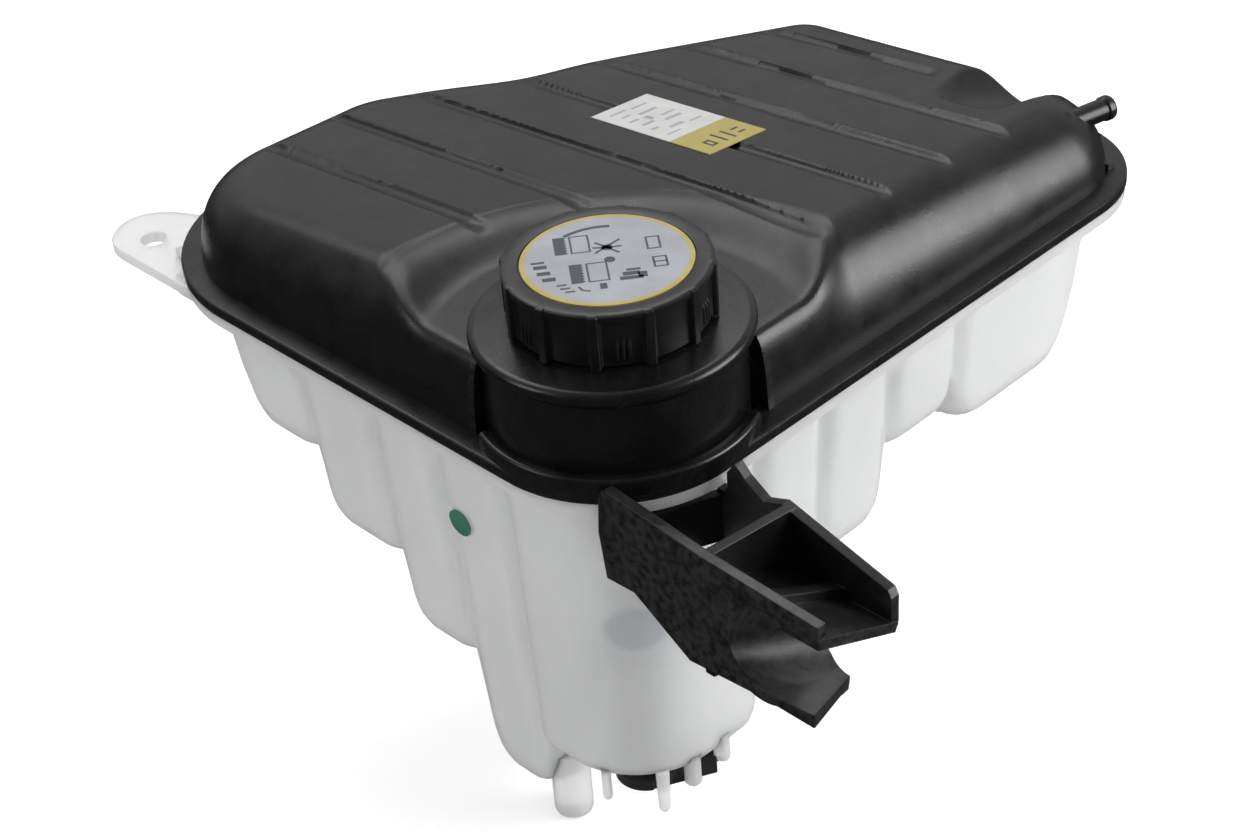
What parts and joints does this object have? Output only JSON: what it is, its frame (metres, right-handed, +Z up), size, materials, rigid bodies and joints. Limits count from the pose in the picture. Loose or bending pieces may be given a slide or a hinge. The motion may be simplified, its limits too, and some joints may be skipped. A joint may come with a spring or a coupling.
{
  "type": "coolant expansion tank",
  "caption": "Coolant expansion tank with black domed top, translucent chambered body, screw pressure cap, level sensor and hose cradle.",
  "frame": {"origin": "centre of the fixing ear's bolt hole at the ear's underside", "axes": "+Z up along the bolt hole and the filler neck, +Y from the neck end towards the ear along the tank's long side, +X along the front side towards the vent nipple"},
  "size_m": [0.2648, 0.329, 0.2105],
  "materials": {
    "upper_shell": "black moulded polypropylene, satin, fine grain",
    "lower_shell": "natural translucent polypropylene",
    "cradle_bracket": "black moulded nylon, satin",
    "top_sticker": "printed film, white with a yellow field",
    "paint_mark": "green ink dot",
    "cap_grip": "black moulded plastic, satin",
    "cap_label": "printed disc, pale grey inside a yellow ring",
    "cap_clip": "spring steel",
    "cap_core": "black moulded plastic",
    "core_ring": "stamped steel",
    "core_washer": "low friction plastic",
    "seals": "black rubber",
    "pressure_plate": "stamped brass",
    "springs": "spring wire",
    "vacuum_valve": "turned aluminium",
    "level_float": "grey-blue closed-cell float",
    "float_magnet": "ferrite ring",
    "float_stop": "natural plastic ring",
    "sensor_housing": "black moulded plastic",
    "sensor_stem": "black moulded plastic",
    "sensor_seal": "red-brown rubber",
    "sensor_terminals": "plated brass blades"
  },
  "bodies": {
    "tank": {"upper_shell": "upper_shell", "lower_shell": "lower_shell", "cradle_bracket": "cradle_bracket", "top_sticker": "top_sticker", "paint_mark": "paint_mark", "float_stop": "float_stop", "sensor_housing": "sensor_housing", "sensor_stem": "sensor_stem", "sensor_seal": "sensor_seal", "sensor_terminals": "sensor_terminals"},
    "core": {"cap_core": "cap_core", "core_ring": "core_ring", "core_washer": "core_washer", "cap_clip": "cap_clip", "seal_upper": "seals", "seal_lower": "seals", "pressure_spring": "springs"},
    "cap": {"cap_grip": "cap_grip", "cap_label": "cap_label"},
    "pressure_valve": {"pressure_plate": "pressure_plate", "pressure_seal": "seals", "vacuum_spring": "springs"},
    "vacuum_valve": {"vacuum_valve": "vacuum_valve", "vacuum_keeper": "vacuum_valve"},
    "float": {"level_float": "level_float", "float_magnet": "float_magnet"}
  },
  "joints": [
    {"name": "cap_rise", "type": "slide", "parent": "tank", "child": "core", "axis": [0, 0, 1], "range_m": [0, 0.018]},
    {"name": "cap_turn", "type": "hinge", "parent": "core", "child": "cap", "pos_m": [0.023, -0.202, 0.054], "axis": [0, 0, 1], "range_deg": [0, 1080]},
    {"name": "pressure_lift", "type": "slide", "parent": "core", "child": "pressure_valve", "axis": [0, 0, 1], "range_m": [0, 0.003], "stiffness_N_per_m": 2000, "deforming": ["pressure_spring"]},
    {"name": "vacuum_drop", "type": "slide", "parent": "pressure_valve", "child": "vacuum_valve", "axis": [0, 0, -1], "range_m": [0, 0.0012], "stiffness_N_per_m": 200, "deforming": ["vacuum_spring"]},
    {"name": "float_rise", "type": "slide", "parent": "tank", "child": "float", "axis": [0, 0, 1], "range_m": [0, 0.012]}
  ],
  "couplings": [
    {"joint": "cap_turn", "follows": "cap_rise", "rad_per_m": 1047.2}
  ]
}
